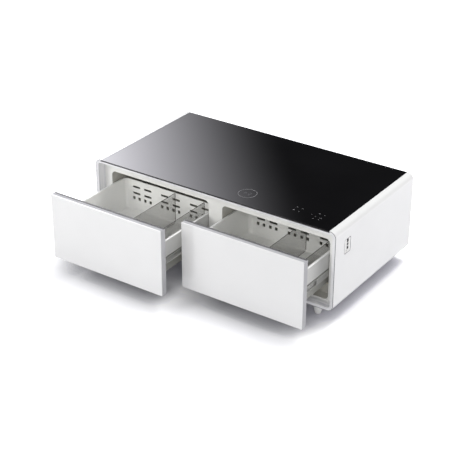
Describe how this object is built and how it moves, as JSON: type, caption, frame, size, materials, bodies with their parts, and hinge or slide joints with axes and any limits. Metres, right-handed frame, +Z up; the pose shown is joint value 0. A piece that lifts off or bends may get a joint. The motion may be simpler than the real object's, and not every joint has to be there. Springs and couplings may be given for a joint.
{
  "type": "refrigerator coffee table",
  "caption": "Low coffee table with a black glass top over a refrigerated cabinet with side-by-side pull-out drawers, a wireless charging spot, touch keys and a socket plate.",
  "frame": {"origin": "on the floor under the middle of the table's bounding box, with both drawers drawn out as at rest", "axes": "+X along the table's width to the socket side, -Y to the side that the drawers open towards, +Z up"},
  "size_m": [1.3, 1.0378, 0.45],
  "materials": {
    "white_lacquer": "white gloss lacquer on board",
    "trim_metal": "pale satin",
    "black_glass": "polished, black behind",
    "white_plastic": "semi-gloss white",
    "liner_plastic": "vacuum-formed sheet",
    "white_panel": "white behind clear glass",
    "frame_metal": "satin",
    "foam": "expanded foam",
    "soft_seal": "soft grey seal",
    "rail_paint": "white powder coat",
    "zinc_steel": "zinc plated",
    "smoked_acrylic": "smoked, see-through",
    "black_steel": "black enamel",
    "copper_pipe": "drawn copper",
    "aluminium": "plain sheet",
    "black_plastic": "moulded black",
    "circuit_board": "coated board",
    "grey_plastic": "moulded grey"
  },
  "bodies": {
    "cabinet": {"outer_shell": "white_lacquer", "front_trim": "trim_metal", "glass_top": "black_glass", "fascia": "white_plastic", "back_panel": "white_plastic", "front_left_foot": "white_plastic", "front_right_foot": "white_plastic", "rear_left_foot": "white_plastic", "rear_right_foot": "white_plastic", "left_liner": "liner_plastic", "right_liner": "liner_plastic", "left_evaporator": "aluminium", "right_evaporator": "aluminium", "insulation": "foam", "charger_pad": "black_plastic", "touch_board": "circuit_board", "socket_plate": "white_plastic", "socket_module": "black_plastic", "condenser_coil": "copper_pipe", "discharge_pipe": "copper_pipe", "liquid_line": "copper_pipe", "evaporator_link": "copper_pipe", "suction_pipe": "copper_pipe", "compressor": "black_steel", "condenser_fan_frame": "black_plastic", "control_box": "grey_plastic", "power_inlet": "black_plastic", "left_drawer_left_fixed_slide": "zinc_steel", "left_drawer_right_fixed_slide": "zinc_steel", "right_drawer_left_fixed_slide": "zinc_steel", "right_drawer_right_fixed_slide": "zinc_steel"},
    "condenser_fan": {"condenser_fan_impeller": "black_plastic"},
    "left_drawer": {"left_drawer_front_panel": "white_panel", "left_drawer_edge_frame": "frame_metal", "left_drawer_foam_core": "foam", "left_drawer_inner_panel": "white_plastic", "left_drawer_gasket": "soft_seal", "left_drawer_tub": "white_plastic", "left_drawer_left_rail": "rail_paint", "left_drawer_right_rail": "rail_paint", "left_drawer_left_drawer_slide": "zinc_steel", "left_drawer_right_drawer_slide": "zinc_steel", "left_drawer_inner_divider": "smoked_acrylic", "left_drawer_outer_divider": "smoked_acrylic"},
    "left_middle_slides": {"left_drawer_left_middle_slide": "zinc_steel", "left_drawer_right_middle_slide": "zinc_steel"},
    "right_drawer": {"right_drawer_front_panel": "white_panel", "right_drawer_edge_frame": "frame_metal", "right_drawer_foam_core": "foam", "right_drawer_inner_panel": "white_plastic", "right_drawer_gasket": "soft_seal", "right_drawer_tub": "white_plastic", "right_drawer_left_rail": "rail_paint", "right_drawer_right_rail": "rail_paint", "right_drawer_left_drawer_slide": "zinc_steel", "right_drawer_right_drawer_slide": "zinc_steel", "right_drawer_inner_divider": "smoked_acrylic", "right_drawer_outer_divider": "smoked_acrylic"},
    "right_middle_slides": {"right_drawer_left_middle_slide": "zinc_steel", "right_drawer_right_middle_slide": "zinc_steel"}
  },
  "joints": [
    {"name": "left_drawer_slide", "type": "slide", "parent": "cabinet", "child": "left_drawer", "axis": [0, -1, 0], "range_m": [-0.33789, 0.08211]},
    {"name": "left_middle_slide", "type": "slide", "parent": "cabinet", "child": "left_middle_slides", "axis": [0, -1, 0], "range_m": [-0.16895, 0.04106]},
    {"name": "right_drawer_slide", "type": "slide", "parent": "cabinet", "child": "right_drawer", "axis": [0, -1, 0], "range_m": [-0.21945, 0.20055]},
    {"name": "right_middle_slide", "type": "slide", "parent": "cabinet", "child": "right_middle_slides", "axis": [0, -1, 0], "range_m": [-0.10973, 0.10028]},
    {"name": "condenser_fan_spin", "type": "hinge", "parent": "cabinet", "child": "condenser_fan", "pos_m": [-0.10176, 0.37765, 0.1383], "axis": [0, 1, 0], "continuous": true}
  ],
  "couplings": [
    {"joint": "left_middle_slide", "follows": "left_drawer_slide", "ratio": 0.5},
    {"joint": "right_middle_slide", "follows": "right_drawer_slide", "ratio": 0.5}
  ]
}
